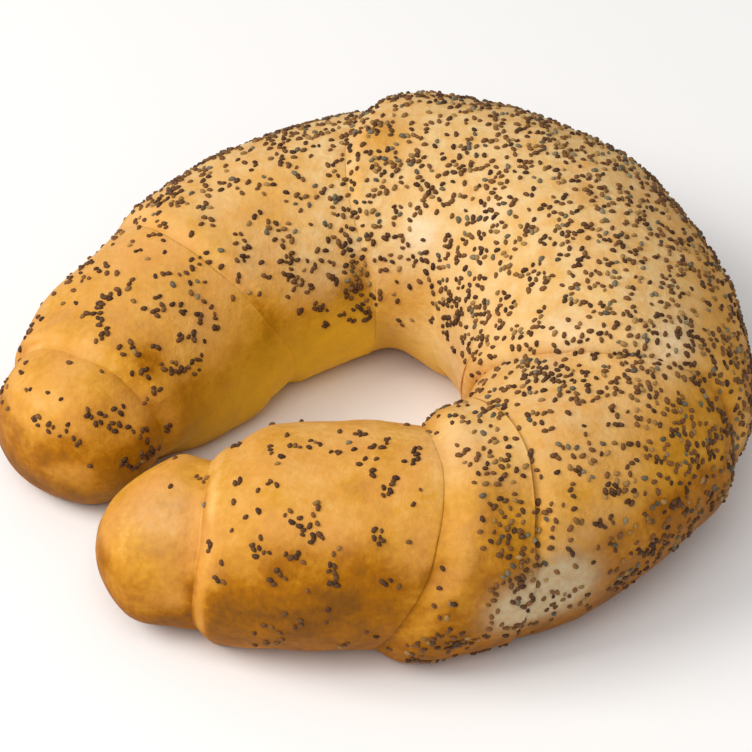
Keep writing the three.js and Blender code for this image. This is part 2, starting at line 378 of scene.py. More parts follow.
@dataclass
class Dough:
    """The rolled dough: its section, its layers' lips and gullies, and its swellings."""

    line: CentreLine = field(default_factory=CentreLine)
    edges: tuple[LayerEdge, ...] = (
        LayerEdge(14.8, -1, 0.5, 0, 1, 0.5, Facing.BACK, radius=3.4, crisp=0.25, pale=0.4, brown=0.1),
        LayerEdge(43.3, -3.5, 6, 1.5, 0.7, 0.4, Facing.BACK, radius=4, crisp=0.15, pale=0.2, brown=0.05),
        LayerEdge(
            81, 4.5, 2.5, 1.2, 0.9, 0.5, Facing.BACK, radius=3.8, crisp=0.4, pale=0.4, middle=60, spread=90
        ),
        LayerEdge(
            167.4, -3.2, -1.2, -2.6, 1.2, 0.9, Facing.FRONT, radius=3.6, crisp=0.8, pale=0.5, brown=0.05
        ),
        LayerEdge(
            190.4, 2, 3, 0, 0.6, 0.6, Facing.FRONT, radius=2.4, crisp=0.9, pale=0.1, middle=47, spread=26
        ),
        LayerEdge(204.3, 1.5, 7, -1, 1.3, 0.5, Facing.FRONT, radius=6, crisp=0.3, pale=0.3, brown=0.02),
        LayerEdge(245.5, 1.5, 0, 0, 1.5, 0.7, Facing.FRONT, radius=3, crisp=0.5, pale=0.75, brown=0.03),
    )
    swellings: tuple[Patch, ...] = (
        Patch(5, -30, 5, 40, 2.0), Patch(2, -35, 4, 30, 2.0), Patch(19, 218, 6.5, 32, -3.8),
        Patch(27, 20, 9, 40, 1.9), Patch(34, 70, 10, 35, 0.7), Patch(31, 222, 5, 30, 0.5),
        Patch(39, 48, 5, 25, -0.4), Patch(42, 222, 9, 30, 2.6), Patch(51, 50, 6, 25, 0.8),
        Patch(64, 60, 9, 30, 0.8), Patch(70, 222, 12, 30, 0.8), Patch(77, 38, 10, 35, -1.1),
        Patch(92, 222, 7, 30, -1.2), Patch(94, 45, 6, 30, 1.2), Patch(104, 55, 12, 35, 0.9),
        Patch(108, 222, 8, 30, 1.0), Patch(120, 222, 20, 30, 1.0), Patch(122, 40, 6, 25, 0.9),
        Patch(132, 110, 16, 30, 0.6), Patch(140, 10, 12, 30, 0.9), Patch(150, 60, 14, 30, -0.9),
        Patch(167.5, -5, 3.2, 22, 1.9), Patch(177, 20, 9, 28, 1.6), Patch(185, 75, 6, 26, 0.9),
        Patch(189, -30, 14, 25, -0.3), Patch(206, 150, 7, 30, -1.6), Patch(209, -45, 8, 25, 0.7),
        Patch(224, 140, 16, 40, 1.6), Patch(226, -45, 9, 30, -1.0), Patch(242, 150, 4.5, 40, -2.2),
        Patch(250, 140, 5, 40, 2.0), Patch(259, -15, 5, 30, 1.3), Patch(252, -45, 4, 25, -0.8),
        Patch(262, 90, 5, 40, -1.6),
    )
    rise: float = 0.8
    step_run: float = 14.0
    gully_run: float = 5.0
    crease_depth: float = 0.15
    crease_width: float = 0.7
    overhang: float = 0.2
    softest: float = 1.8
    rim_at: float = 0.5
    rim_reach: float = 0.5
    wobble: float = 0.7
    wave_counts: tuple[int, ...] = (3, 5, 8, 13)

    def edge_distance(self, edge: LayerEdge, angle: Array) -> Array:
        """Where a layer's edge crosses each angle round the section.

        The distance is at + lean·cos(a) + bow·(1 - sin(a)), with twist·sin(2a) added above the middle. A
        few sine waves that close on themselves round the roll make the edge waver.

        Args:
            edge: the layer's edge.
            angle: 0 at the roll's outer side, a right angle on its crown, two at its inner side.

        Returns:
            Distances along the roll.
        """
        sides = edge.lean * np.cos(angle) + edge.bow * (1 - np.sin(angle))
        shoulders = np.where(np.sin(angle) > 0, edge.twist * np.sin(2 * angle), 0)
        waves = sum(np.sin(n * angle + edge.at * n) / n for n in self.wave_counts)
        return edge.at + sides + shoulders + self.wobble * waves

    def behind_lip(self, edge: LayerEdge, behind: Array) -> tuple[Array, Array, Array]:
        """Relief of the layer that ends in a lip.

        Over the lip's radius the crust rises as the quarter wave sin(t·90°)^p from the crease to the full
        step, where p is lower the crisper the lip is. It leans out over the gully by 4h(1 - h) of the
        overhang at the share h of that rise. Behind it the step dies away as exp(-d / run).

        Args:
            edge: the layer's edge.
            behind: distances behind that edge.

        Returns:
            How far the crust stands out, how far it leans over, and how near the lip's rim is, 0 to 1.
        """
        share = np.clip(behind / edge.radius, 0, 1)
        height = np.sin(share * QUARTER_TURN) ** (self.softest - edge.crisp)
        depth = edge.gully + self.crease_depth * edge.crisp
        rim = height * (edge.step + depth) - depth
        tail = edge.step * np.exp(-np.maximum(behind - edge.radius, 0) / self.step_run)
        relief = np.where(behind < edge.radius, rim, tail)
        lean = 4 * height * (1 - height) * self.overhang * edge.crisp
        return relief, lean, np.exp(-(((share - self.rim_at) / self.rim_reach) ** 2))

    def before_lip(self, edge: LayerEdge, before: Array) -> Array:
        """Relief of the layer that runs under a lip: a gully and a narrow crease, both exp(-d / width)."""
        gully = edge.gully * np.exp(-before / self.gully_run)
        return -gully - self.crease_depth * edge.crisp * np.exp(-before / self.crease_width)


@dataclass
class CrustGrid:
    """The crust as a grid of points, rows along the roll and columns round it."""

    points: Array
    normals: Array
    distance: Array
    angle: Array
    rim: Array
    band: Array
    crease: Array


@dataclass
class Crust:
    """The baked crust: a fine surface over the dough's form, with its unevenness and its colouring.

    Its bake runs from 0, the palest, to 1, brown. It grows from the top down, over two ranges of how far
    the crust looks down: this darkening of the low sides is painted shade, and so is a little more along the
    creases. Scorches add to it, and two wide patches that take it away low on the inner side are painted
    light. The egg wash keeps its gold where washes lie. The other marks lay their own colours over it: a
    bright yellow on the inner side, which is painted light, pale spots, two of them painted light on the
    inner side too, and flour.
    """

    dough: Dough
    columns: int = 200
    row_spacing: float = 0.74
    tip_rows: int = 22
    lip_rows: tuple[float, ...] = (0.015, 0.05, 0.11, 0.19, 0.29, 0.41, 0.55, 0.7, 0.85, 1.0)
    gully_rows: tuple[float, ...] = (0.12, 0.35, 0.7, 1.2, 1.9, 2.7)
    ripple: tuple[tuple[float, float], ...] = ((16.0, 0.45), (6.0, 0.2), (2.2, 0.06))
    ripple_seed: int = 11
    table_fade: float = 3.0
    band_at: float = 3.0
    band_reach: float = 3.2
    crease_reach: float = 0.8
    top_bake: float = 0.33
    # The side and low terms darken the crust the more it looks down: painted shade.
    side_shade: float = 0.36
    low_shade: float = 0.22
    uneven_bake: float = 0.08
    # Darker along the creases: painted shade.
    crease_shade: float = 0.1
    rim_bake: float = -0.5
    side_shade_range: tuple[float, float] = (-0.68, -0.3)
    low_shade_range: tuple[float, float] = (-0.2, 0.4)
    fair_range: tuple[float, float] = (0.4, 0.7)
    bake_cell: float = 11.0
    bake_seed: int = 31
    strewn_on_brown: float = 0.15
    # Most patches brown the crust; the two wide ones that take bake away low on the inner side, at 120 and
    # 162 mm, are painted light.
    scorches_and_painted_light: tuple[Patch, ...] = (
        Patch(227, 39, 19, 17, 0.48), Patch(233, 37, 4, 10, -0.15), Patch(229, 10, 15, 20, 0.42),
        Patch(219, 73, 8, 12, 0.15), Patch(240, 14, 5, 24, 0.14), Patch(189, 52, 5, 14, -0.08),
        Patch(201.5, 98, 3.5, 20, -0.14), Patch(145, 42, 25, 22, 0.13), Patch(180, 30, 4, 12, 0.15),
        Patch(197, 55, 4, 35, 0.25), Patch(187, 62, 4, 10, -0.1), Patch(73, 158, 6, 14, 0.35),
        Patch(9, 168, 7, 25, 0.12), Patch(7, 134, 5, 20, 0.3), Patch(4, 110, 5, 16, 0.12),
        Patch(1, 176, 3.5, 35, -0.2), Patch(20, 122, 4, 12, 0.35), Patch(48, 155, 6, 14, 0.28),
        Patch(57, 160, 7, 14, -0.38), Patch(64, 182, 7, 14, -0.25), Patch(76, 172, 10, 18, -0.25),
        Patch(120, 192, 28, 40, -0.8), Patch(162, 180, 14, 34, -0.6), Patch(257, 0, 10, 35, -0.1),
        Patch(250, 12, 4, 18, -0.28), Patch(257, 40, 5, 16, 0.12), Patch(258, 80, 6, 20, 0.16),
        Patch(3, 60, 8, 60, -0.06), Patch(263, 45, 4, 35, 0.06), Patch(38, 120, 5, 14, 0.08),
        Patch(24, 60, 6, 20, 0.06), Patch(82, 95, 5, 14, 0.12), Patch(232, 80, 7, 18, 0.12),
        Patch(213, 70, 6, 20, 0.08),
    )
    # A bright yellow low on the roll's inner side: painted light where the crust lies in shade.
    inner_lights: tuple[Patch, ...] = (
        Patch(33, 190, 20, 34, 0.85), Patch(66, 200, 18, 28, 1.6), Patch(112, 205, 26, 20, 0.5),
        Patch(118, 188, 28, 18, 0.3),
    )
    washes: tuple[Patch, ...] = (
        Patch(172, 26, 12, 28, 1.1), Patch(150, 32, 18, 20, 0.6), Patch(196, 36, 4.5, 28, 1.0),
        Patch(202, 80, 4.5, 40, 0.3), Patch(19, 125, 5, 18, 0.9), Patch(88, 92, 5, 12, 0.6),
        Patch(60, 98, 10, 20, 0.4), Patch(50, 148, 7, 14, 0.7), Patch(70, 175, 14, 16, 0.6),
        Patch(110, 172, 26, 15, 0.7), Patch(118, 192, 30, 22, 0.7), Patch(189, 52, 5, 14, 0.5),
    )
    # Pale spots; the two wide ones low on the inner side, at 118 and 145 mm, are painted light.
    blanches_and_painted_light: tuple[Patch, ...] = (
        Patch(165, 105, 4, 10, 0.6), Patch(161, 62, 4, 9, 0.8), Patch(100, 137, 5, 8, 1.35),
        Patch(118, 186, 30, 18, 0.3), Patch(121, 119, 5, 8, 0.7), Patch(201, 95, 4, 20, 0.3),
        Patch(145, 176, 14, 16, 0.35), Patch(253, 72, 7, 26, 0.25), Patch(55, 85, 6, 12, 0.2),
    )
    flours: tuple[Patch, ...] = (
        Patch(196.3, 3, 3.2, 12, 2.0), Patch(191.8, 9, 2.6, 15, 2.0), Patch(175.5, 107, 3, 9, 0.6),
    )

    def layer_rows(self, start: LayerEdge | None, end: LayerEdge | None, length: float) -> Array:
        """Where the rows of one layer lie, closer together over its lip, gully and tip.

        Args:
            start: the layer's edge on the back side, or none at the roll's end.
            end: the layer's edge on the front side, or none at the roll's end.
            length: the layer's length on the crown.

        Returns:
            Distances behind the start, in order.
        """
        lips = np.array(self.lip_rows)
        turn = np.arange(1, self.tip_rows + 1) / self.tip_rows * QUARTER_TURN
        tips = 1 - np.cos(turn)
        gullies = np.array(self.gully_rows)
        near = self.dough.line.back_tip * tips
        if start:
            near = lips * start.radius if start.facing is Facing.BACK else gullies
        far = self.dough.line.front_tip * tips
        if end:
            far = lips * end.radius if end.facing is Facing.FRONT else gullies
        last = length - far.max()
        near = near[near < last - self.row_spacing / 2]
        first = near.max()
        steps = max(1, round((last - first) / self.row_spacing))
        middle = first + (last - first) * np.arange(1, steps) / steps
        rows = np.sort(np.concatenate([near, middle, length - far]))
        return np.append(rows, length) if end else rows

    def lay_layer(self, start: LayerEdge | None, end: LayerEdge | None, angle: Array) -> list[Array]:
        """One layer's rows, stretched round the roll between its slanted edges.

        Args:
            start: the layer's edge on the back side, or none.
            end: the layer's edge on the front side, or none.
            angle: the columns' angles.

        Returns:
            Distances along the roll, the relief, the lean over the gully, how near a lip's rim is, how near
            the browned band behind it, and how near a crease, one row of the grid each.
        """
        dough = self.dough
        start_at = dough.edge_distance(start, angle) if start else np.zeros_like(angle)
        end_at = dough.edge_distance(end, angle) if end else np.full_like(angle, dough.line.length)
        crown = np.argmin(np.abs(angle - QUARTER_TURN))
        length = end_at[crown] - start_at[crown]
        share = self.layer_rows(start, end, length)[:, None] / length
        distance = start_at + share * (end_at - start_at)
        relief, lean, rim, band, crease = np.zeros((5, *distance.shape))
        for edge, away in ((start, distance - start_at), (end, end_at - distance)):
            if edge is None:
                continue
            away = np.maximum(away, 0)
            shown = edge.shown(angle)
            if (edge is start) == (edge.facing is Facing.BACK):
                height, over, nearness = dough.behind_lip(edge, away)
                lean += over * edge.facing.value * shown
                rim = np.maximum(rim, edge.pale * nearness * shown)
                behind = (away - edge.radius - self.band_at) / self.band_reach
                band = np.maximum(band, edge.brown * shown * np.exp(-behind * behind))
            else:
                height = dough.before_lip(edge, away)
            relief += height * shown
            crease = np.maximum(crease, edge.crisp * shown * np.exp(-away / self.crease_reach))
        return [distance, relief, lean, rim, band, crease]

    def lay_grid(self) -> CrustGrid:
        """Works out every point of the crust.

        The section is an ellipse cut off flat by the table: outwards (w/2 + r)·taper·cos(a) and upwards
        c + (h' + r)·taper·sin(a), never below the table. Soft noise of three sizes then moves each point
        along its normal.

        Returns:
            The grid with its normals and its marks.
        """
        dough, line = self.dough, self.dough.line
        angle = np.arange(self.columns) / self.columns * 2 * math.pi - QUARTER_TURN
        bounds = [None, *dough.edges, None]
        layers = [self.lay_layer(start, end, angle) for start, end in zip(bounds, bounds[1:])]
        distance, relief, lean, *marks = (np.concatenate(rows) for rows in zip(*layers))
        angle = np.broadcast_to(angle, distance.shape)
        centre, heading, width, height = line.section(distance)
        taper = line.taper(distance)
        relief = relief + sum_patches(dough.swellings, distance, angle)
        half = height / (1 + dough.rise)
        outwards = (width / 2 + relief) * taper * np.cos(angle)
        up = half * dough.rise + (half + relief) * taper * np.sin(angle)
        across = np.stack([-heading[..., 1], heading[..., 0]], -1)
        plan = centre + across * outwards[..., None] + heading * (lean * taper)[..., None]
        points = np.concatenate([plan, up[..., None]], -1)
        points += self.grid_normals(points) * self.unevenness(points)[..., None]
        points[..., 2] = np.maximum(points[..., 2], 0)
        return CrustGrid(points, self.grid_normals(points), distance, angle, *marks)

    def unevenness(self, points: Array) -> Array:
        """The crust's random rise and fall: a few sizes of soft noise, fading out at the table.

        Args:
            points: places in millimetres.

        Returns:
            Heights in millimetres.
        """
        total = np.zeros(points.shape[:-1])
        for index, (cell, height) in enumerate(self.ripple):
            total += height * DoughNoise(cell, self.ripple_seed + index).at(points)
        return total * smooth_step(points[..., 2], 0, self.table_fade)

    @staticmethod
    def grid_normals(points: Array) -> Array:
        """Outward unit normals from the steps along and round the grid.

        Args:
            points: the grid's places.

        Returns:
            A normal for each place.
        """
        along = np.gradient(points, axis=0)
        around = np.roll(points, -1, 1) - np.roll(points, 1, 1)
        normal = np.cross(around, along)
        return normal / np.maximum(np.linalg.norm(normal, axis=-1, keepdims=True), TINY)

    def colour_marks(self, grid: CrustGrid, strewn: Array) -> dict[str, Array]:
        """How baked and shaded, pale, floury and seeded the crust is at each point, with painted shade and
        painted light among these marks.

        The crust is fair between the seeds, except where it is brown or the egg wash keeps its gold.

        Args:
            grid: the crust's grid.
            strewn: how thickly it is strewn with seeds.

        Returns:
            The marks by name, each from 0 to 1.
        """
        down = -grid.normals[..., 2]
        uneven = self.uneven_bake * DoughNoise(self.bake_cell, self.bake_seed).at(grid.points)
        # Darker the more the crust looks down: painted shade.
        bake = self.top_bake + self.side_shade * smooth_step(down + uneven, *self.side_shade_range)
        bake += self.low_shade * smooth_step(down, *self.low_shade_range) + uneven
        # The crease term is painted shade; the band behind a lip is browner and its rim paler.
        bake += grid.band + self.crease_shade * grid.crease + self.rim_bake * grid.rim
        # Some of these patches lighten the shaded inner side: painted light.
        bake += sum_patches(self.scorches_and_painted_light, grid.distance, grid.angle)
        # The inner side's bright yellow is painted light.
        amber = sum_patches(self.inner_lights, grid.distance, grid.angle)
        # Some of these pale patches are painted light on the inner side.
        pale = sum_patches(self.blanches_and_painted_light, grid.distance, grid.angle)
        flour = sum_patches(self.flours, grid.distance, grid.angle)
        bare = 1 - np.clip(sum_patches(self.washes, grid.distance, grid.angle), 0, 1)
        fair = (1 - smooth_step(bake, *self.fair_range)) * bare
        strewn = strewn * (self.strewn_on_brown + (1 - self.strewn_on_brown) * fair) * bare
        marks = {"bake": bake, "fair": fair, "amber": amber, "pale": pale, "flour": flour, "strewn": strewn}
        return {name: np.clip(values, 0, 1) for name, values in marks.items()}

    def build(self, grid: CrustGrid, strewn: Array) -> bpy.types.Object:
        """Makes the crust's mesh, closed at the two tips.

        Args:
            grid: the crust's grid.
            strewn: how thickly it is strewn with seeds.

        Returns:
            The crust's object.
        """
        rows, columns = grid.distance.shape
        line, rise = self.dough.line, self.dough.rise
        centre, _, _, height = line.section(np.array([0.0, line.length]))
        poles = np.column_stack([centre, height * rise / (1 + rise)])
        points = np.concatenate([grid.points.reshape(-1, 3), poles])
        row, column = np.meshgrid(np.arange(rows - 1), np.arange(columns), indexing="ij")
        following = (column + 1) % columns
        corners = (row * columns + column, row * columns + following)
        quads = np.stack([*corners, corners[1] + columns, corners[0] + columns], -1).reshape(-1, 4)
        ring = np.arange(columns)
        after = (ring + 1) % columns
        base = (rows - 1) * columns
        back = np.stack([np.full(columns, len(points) - 2), after, ring], -1)
        front = np.stack([np.full(columns, len(points) - 1), base + ring, base + after], -1)
        marks = self.colour_marks(grid, strewn)
        ends = {
            name: np.append(values, [values[0].mean(), values[-1].mean()])
            for name, values in marks.items()
        }
        return make_piece("crust", points, [quads, np.concatenate([back, front])], ends)


# ---- The poppy seeds ---------------------------------------------------------------------------------


@dataclass(frozen=True)
class Mark:
    """How thickly the seeds lie at a distance along the roll, as a share of the thickest strewing."""

    at: float
    share: float


def read_marks(marks: tuple[Mark, ...], distance: Array) -> Array:
    """The share at each distance, in straight lines from mark to mark."""
    return np.interp(distance, [mark.at for mark in marks], [mark.share for mark in marks])


@dataclass
class Strewing:
    """Where the seeds fall: thick over the bend, thin on the arms, clumped everywhere.

    A reach is the sine of the lowest angle that the seeds get to, on the inner or the outer side.
    """

    marks: tuple[Mark, ...] = (
        Mark(0, 0.05), Mark(16, 0.08), Mark(20, 0.15), Mark(44, 0.2), Mark(52, 0.65), Mark(66, 0.85),
        Mark(76, 1), Mark(156, 1), Mark(170, 0.75), Mark(190, 0.6), Mark(196, 0.8), Mark(200, 0.4),
        Mark(205, 0.08), Mark(240, 0.08), Mark(247, 0.01),
    )
    inner_reach: tuple[Mark, ...] = (
        Mark(30, 0.55), Mark(56, 0.45), Mark(70, 0.15), Mark(96, 0.1), Mark(140, 0.12), Mark(160, 0.4),
        Mark(190, 0.4),
    )
    outer_reach: float = -0.3
    reach_fade: tuple[float, float] = (-0.1, 0.2)
    clump_cell: float = 6.0
    clump_seed: int = 71
    thinnest: float = 0.45
    clumping: float = 1.1
    lowest: float = 2.5
    thick_spots: tuple[Patch, ...] = (
        Patch(73, 160, 4, 14, 1.0), Patch(175, 101, 4, 14, 0.8), Patch(196.5, 45, 2.6, 45, 1.0),
        Patch(132, 155, 8, 12, 0.6), Patch(166, 62, 3, 40, 0.6), Patch(207, -22, 5, 16, 0.9),
        Patch(12, 165, 5, 14, 0.4), Patch(53, 52, 7, 10, 0.6), Patch(4, 115, 5, 30, 0.2),
    )
    bare_spots: tuple[Patch, ...] = (
        Patch(202, 40, 3, 60, 0.95), Patch(60, 98, 9, 17, 0.8), Patch(35, 172, 24, 20, 0.95),
        Patch(100, 137, 4.5, 9, 0.95), Patch(97, 163, 9, 12, 0.85), Patch(161, 70, 2.5, 25, 0.7),
        Patch(189, 9, 5, 12, 0.8), Patch(182, 70, 6, 16, 0.3),
    )

    def share(self, grid: CrustGrid) -> Array:
        """The smooth part of the strewing: along the roll by its marks, and down its sides to the reaches.

        Args:
            grid: the crust's grid.

        Returns:
            A share from 0 to 1 at each point.
        """
        inner = read_marks(self.inner_reach, grid.distance)
        reach = np.where(np.cos(grid.angle) > 0, self.outer_reach, inner)
        fade = smooth_step(np.sin(grid.angle) - reach, *self.reach_fade)
        return read_marks(self.marks, grid.distance) * fade

    def density(self, grid: CrustGrid) -> Array:
        """The strewing with its clumps and bare spots, for drawing the seeds' places.

        Args:
            grid: the crust's grid.

        Returns:
            A density at each point, 1 where the strewing is thickest.
        """
        uneven = (1 + DoughNoise(self.clump_cell, self.clump_seed).at(grid.points)) / 2
        share = self.share(grid) * (self.thinnest + self.clumping * uneven)
        share += sum_patches(self.thick_spots, grid.distance, grid.angle)
        share *= 1 - np.clip(sum_patches(self.bare_spots, grid.distance, grid.angle), 0, 1)
        return share * (grid.points[..., 2] > self.lowest)


@dataclass(frozen=True)
class SeedHeap:
    """A heap of seeds that shows as one dark spot: its distance along the roll, its angle and its count."""

    at: float
    round: float
    count: int


@dataclass(frozen=True)
class SeedLot:
    """The seeds of one colour, which are one piece, with their share where seeds lie thick and thin."""

    name: str
    share: float
    thin_share: float
    dark: str
    light: str


@dataclass
class SeedSower:
    """Draws the seeds' places on the crust and makes the joined pieces.

    The seeds of the heaps lie closer together than the others, and are all of the first lot's darker half.
    """

    strewing: Strewing
    heaps: tuple[SeedHeap, ...] = (
        SeedHeap(2, 79, 3), SeedHeap(2, 98, 3), SeedHeap(5, 95, 2), SeedHeap(3, 114, 3),
        SeedHeap(6, 122, 4), SeedHeap(7, 128, 4), SeedHeap(10, 132, 4), SeedHeap(8, 138, 4),
        SeedHeap(3, 130, 4), SeedHeap(10, 145, 3), SeedHeap(8, 174, 7), SeedHeap(12, 170, 5),
        SeedHeap(17, 164, 8), SeedHeap(7, 166, 6), SeedHeap(27, 79, 6), SeedHeap(25, 81, 5),
        SeedHeap(22.5, 80, 6), SeedHeap(21, 86, 5), SeedHeap(20.5, 92, 4), SeedHeap(20, 32, 4),
        SeedHeap(34, 49, 4), SeedHeap(33, 46, 4), SeedHeap(51, 60, 9), SeedHeap(49, 58, 6),
        SeedHeap(29.5, 108, 3), SeedHeap(32, 117, 4), SeedHeap(28, 103, 2), SeedHeap(35.5, 137, 5),
        SeedHeap(34, 127, 4), SeedHeap(28, 126, 4), SeedHeap(30, 133, 6), SeedHeap(26.5, 142, 6),
        SeedHeap(24, 140, 5), SeedHeap(22, 138, 6), SeedHeap(18, 136, 4), SeedHeap(18.5, 126, 3),
        SeedHeap(18.5, 105, 2), SeedHeap(23, 121, 3), SeedHeap(52, 109, 4), SeedHeap(50, 119, 4),
        SeedHeap(59, 133, 6), SeedHeap(61, 160, 5), SeedHeap(69, 85, 6), SeedHeap(57, 80, 4),
        SeedHeap(73, 161, 9), SeedHeap(71, 158, 7), SeedHeap(72, 170, 9), SeedHeap(75, 177, 7),
        SeedHeap(69, 176, 5), SeedHeap(61, 172, 4), SeedHeap(56, 158, 4), SeedHeap(96, 181, 3),
        SeedHeap(110, 173, 4), SeedHeap(133, 172, 4), SeedHeap(177, 112, 5), SeedHeap(174.5, 109, 5),
        SeedHeap(176.5, 101, 6), SeedHeap(173.5, 99, 5), SeedHeap(175, 91, 5), SeedHeap(172, 88, 4),
        SeedHeap(158.5, 66, 5), SeedHeap(159, 61, 6), SeedHeap(160, 55, 5), SeedHeap(72.5, 147, 5),
        SeedHeap(72.5, 139, 5), SeedHeap(62.5, 164, 4), SeedHeap(62, 140, 5), SeedHeap(57.5, 132, 5),
        SeedHeap(67, 152, 5), SeedHeap(78.5, 168, 4), SeedHeap(66.5, 172, 4), SeedHeap(60.5, 150, 4),
        SeedHeap(56, 140, 4), SeedHeap(133, 155, 5), SeedHeap(135, 165, 5), SeedHeap(138, 156, 6),
        SeedHeap(239.5, 116, 6), SeedHeap(234, 101, 3), SeedHeap(232, 111, 2), SeedHeap(230, 103, 2),
        SeedHeap(222, 97, 4), SeedHeap(217.5, 110, 4), SeedHeap(216, 99, 3), SeedHeap(212, 102, 4),
        SeedHeap(208.5, 88, 4), SeedHeap(208, 96, 3), SeedHeap(239.5, 82, 4), SeedHeap(235, 78, 2),
        SeedHeap(232, 78, 3), SeedHeap(226, 56, 6), SeedHeap(225, 52, 6), SeedHeap(234.5, 44, 4),
        SeedHeap(231, 43, 4), SeedHeap(227.5, 43, 6), SeedHeap(223, 36, 7), SeedHeap(223, 30, 8),
        SeedHeap(215.5, 50, 10), SeedHeap(215.5, 28, 5), SeedHeap(227, 4, 5), SeedHeap(213, 76, 4),
        SeedHeap(214, 71, 4), SeedHeap(218, 88, 2), SeedHeap(216, 83, 2), SeedHeap(244, 50, 2),
        SeedHeap(242, 30, 2), SeedHeap(236, 66, 1), SeedHeap(252, 94, 1), SeedHeap(205, -14, 10),
        SeedHeap(206.5, -6, 9), SeedHeap(210, -28, 9), SeedHeap(184, 44, 8), SeedHeap(183, 42, 8),
        SeedHeap(187, 33, 9), SeedHeap(181, 7, 8), SeedHeap(181.5, 4, 6), SeedHeap(196, 20, 8),
        SeedHeap(163, 56, 6), SeedHeap(163, 45, 7), SeedHeap(163.5, 34, 7), SeedHeap(163.5, 24, 7),
        SeedHeap(163, 13, 6), SeedHeap(166, 80, 5), SeedHeap(167.5, 90, 6), SeedHeap(168.5, 100, 5),
        SeedHeap(158.5, 56, 9), SeedHeap(157.5, 70, 6), SeedHeap(169, 60, 5), SeedHeap(171, 44, 5),
        SeedHeap(176, 39, 5), SeedHeap(177, 20, 6), SeedHeap(177, 30, 4), SeedHeap(161, 72, 5),
        SeedHeap(130, 157, 8),
    )
    lots: tuple[SeedLot, ...] = (
        SeedLot("poppy_seeds_brown", 0.68, 0.88, "#40230d", "#7f5326"),
        SeedLot("poppy_seeds_slate", 0.12, 0.02, "#4c4536", "#867a5e"),
        SeedLot("poppy_seeds_tan", 0.2, 0.1, "#7a5322", "#a9834a"),
    )
    thickest: float = 0.3
    alone: float = 0.6
    spread: float = 1.1
    heap_spread: float = 0.6
    heap_spacing: float = 0.6
    spacing: float = 0.8
    size: tuple[float, float, float] = (1.2, 1.0, 0.85)
    size_spread: float = 0.14
    size_range: tuple[float, float] = (0.75, 1.25)
    tilt: float = 0.22
    proud: float = 0.52
    proud_range: tuple[float, float] = (0.6, 1.3)
    heap_tone: float = 0.5
    around: int = 8
    ring_at: float = 0.62
    hollow: float = 0.3
    hollow_reach: float = 0.28
    first_column: float = 0.25
    floor: float = 2.2
    seed: int = 515

    def template(self) -> tuple[Array, list[Array]]:
        """One seed: a small ellipsoid of three rings between two ends, hollowed on one side like a kidney.

        Returns:
            Its vertices about its middle, for a length of 1, and its faces.
        """
        latitude = np.array([-self.ring_at, 0.0, self.ring_at]) * QUARTER_TURN
        longitude = np.arange(self.around) / self.around * 2 * math.pi
        lat, lon = np.meshgrid(latitude, longitude, indexing="ij")
        wide = np.cos(lat)
        rings = np.stack([np.sin(lat), wide * np.cos(lon), wide * np.sin(lon)], -1).reshape(-1, 3)
        points = np.concatenate([rings, [[-1, 0, 0], [1, 0, 0]]]) / 2
        hollow = self.hollow * np.exp(-((points[:, 0] / self.hollow_reach) ** 2)) * (points[:, 1] < 0)
        points[:, 1] *= 1 - hollow
        ring = np.arange(self.around)
        after = (ring + 1) % self.around
        low, high = len(rings), len(rings) + 1
        top = 2 * self.around
        quads = [
            np.stack([ring + base, ring + base + self.around, after + base + self.around, after + base], -1)
            for base in (0, self.around)
        ]
        start = np.stack([np.full(self.around, low), ring, after], -1)
        end = np.stack([np.full(self.around, high), top + after, top + ring], -1)
        return points, [np.concatenate(quads), np.concatenate([start, end])]

    def sow(self, grid: CrustGrid) -> tuple[Array, Array]:
        """Draws the seeds' places as fractional rows and columns of the crust's grid.

        A grid cell is drawn as often as its area times the density there. Each place drawn gets a few
        followers, as many as a geometric draw says, at normal distances from it, because seeds cling
        together. The heaps come first.

        Args:
            grid: the crust's grid.

        Returns:
            Row and column of each seed, and whether it lies in a heap.
        """
        draw = np.random.default_rng(self.seed)
        points = grid.points
        along = np.linalg.norm(points[1:] - points[:-1], axis=-1)
        around = np.linalg.norm(np.roll(points, -1, 1) - points, axis=-1)[:-1]
        cell_size = np.stack([along, around], -1)
        weight = (along * around * self.strewing.density(grid)[:-1]).reshape(-1)
        parents = int(weight.sum() * self.thickest)
        cells = draw.choice(weight.size, parents, p=weight / weight.sum())
        first = np.stack(np.divmod(cells, points.shape[1]), -1)
        family = np.repeat(np.arange(parents), draw.geometric(self.alone, parents))
        follows = np.concatenate([[False], family[1:] == family[:-1]])[:, None]
        step = draw.normal(0, self.spread, (len(family), 2)) * follows
        inside = draw.random((parents, 2))
        strewn = first[family] + inside[family] + step / cell_size[first[family][:, 0], first[family][:, 1]]
        turns = [math.radians(heap.round) / (2 * math.pi) for heap in self.heaps]
        columns = np.array([(turn + self.first_column) % 1 for turn in turns]) * points.shape[1]
        rows = [np.searchsorted(grid.distance[:, int(c)], heap.at) for c, heap in zip(columns, self.heaps)]
        middle = np.repeat(np.stack([rows, columns], -1), [heap.count for heap in self.heaps], axis=0)
        near = middle.astype(int)
        heaped = middle + draw.normal(0, self.heap_spread, middle.shape) / cell_size[near[:, 0], near[:, 1]]
        return np.concatenate([heaped, strewn]), np.arange(len(heaped) + len(strewn)) < len(heaped)

